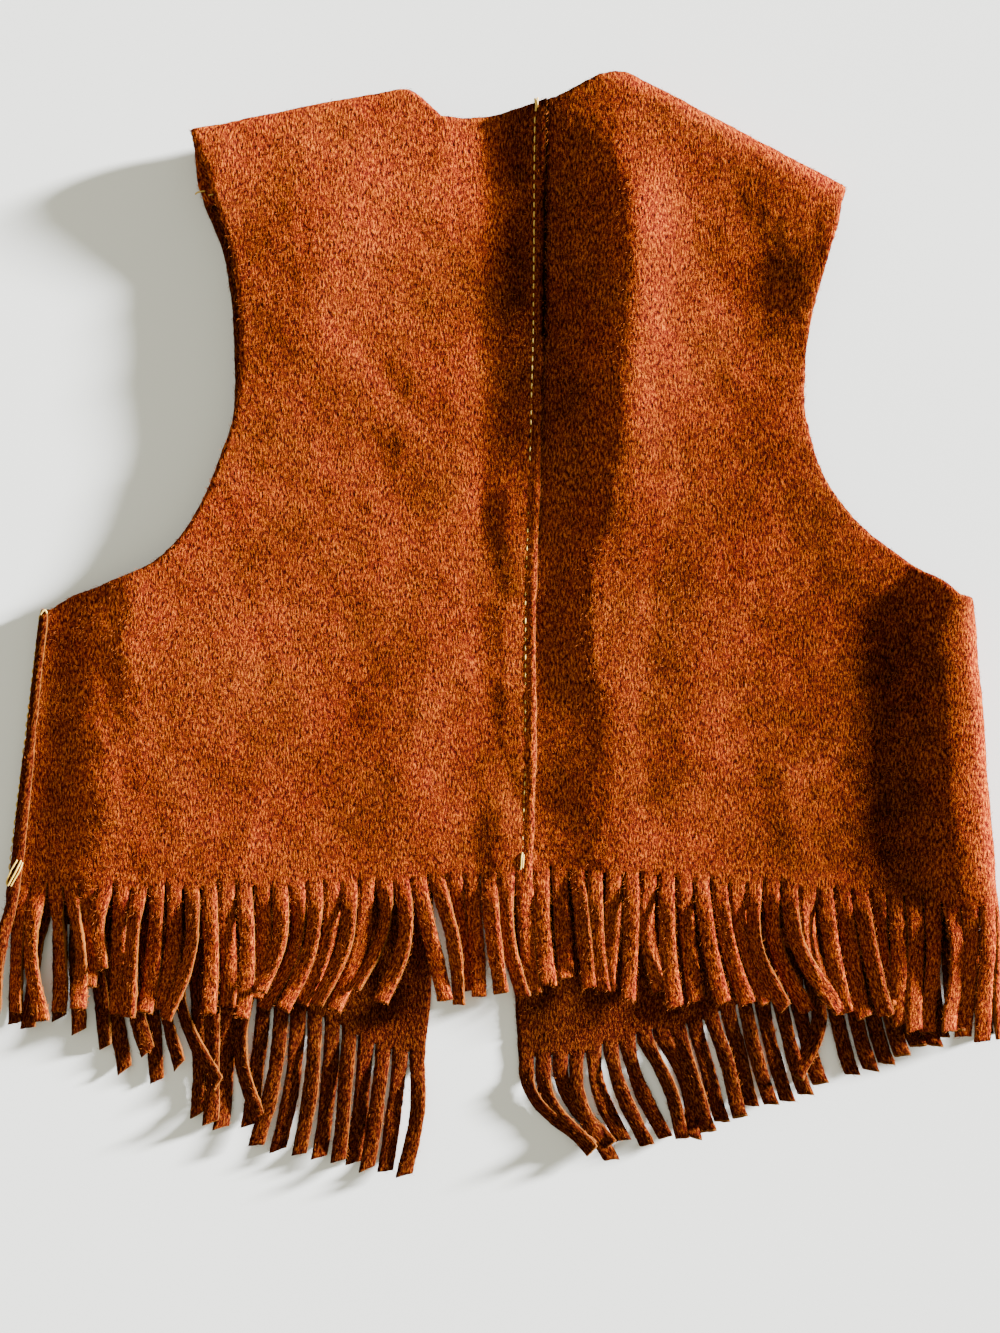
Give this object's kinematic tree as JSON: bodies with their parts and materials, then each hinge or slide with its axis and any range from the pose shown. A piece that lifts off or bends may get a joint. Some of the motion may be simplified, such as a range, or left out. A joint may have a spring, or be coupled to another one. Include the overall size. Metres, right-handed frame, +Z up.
{
  "type": "western vest",
  "caption": "Child's western vest of coarse rust suede, laid flat back side up, with lapped seams and a hem cut into fringe.",
  "frame": {"origin": "middle of the whole vest's outline, on the surface it lies on", "axes": "+X to the right seen from above, +Y from hem to neck, +Z up, away from the surface"},
  "size_m": [0.399, 0.4406, 0.021],
  "materials": {
    "suede": "coarse split suede with a mottled nap",
    "thread": "pale golden topstitching thread"
  },
  "bodies": {
    "root": {"back_left": "suede", "back_right": "suede", "back_left_shoulder": "suede", "back_right_shoulder": "suede", "front_left": "suede", "front_right": "suede", "back_left_fringe": "suede", "back_right_fringe": "suede", "front_left_fringe": "suede", "front_right_fringe": "suede"}
  },
  "joints": []
}
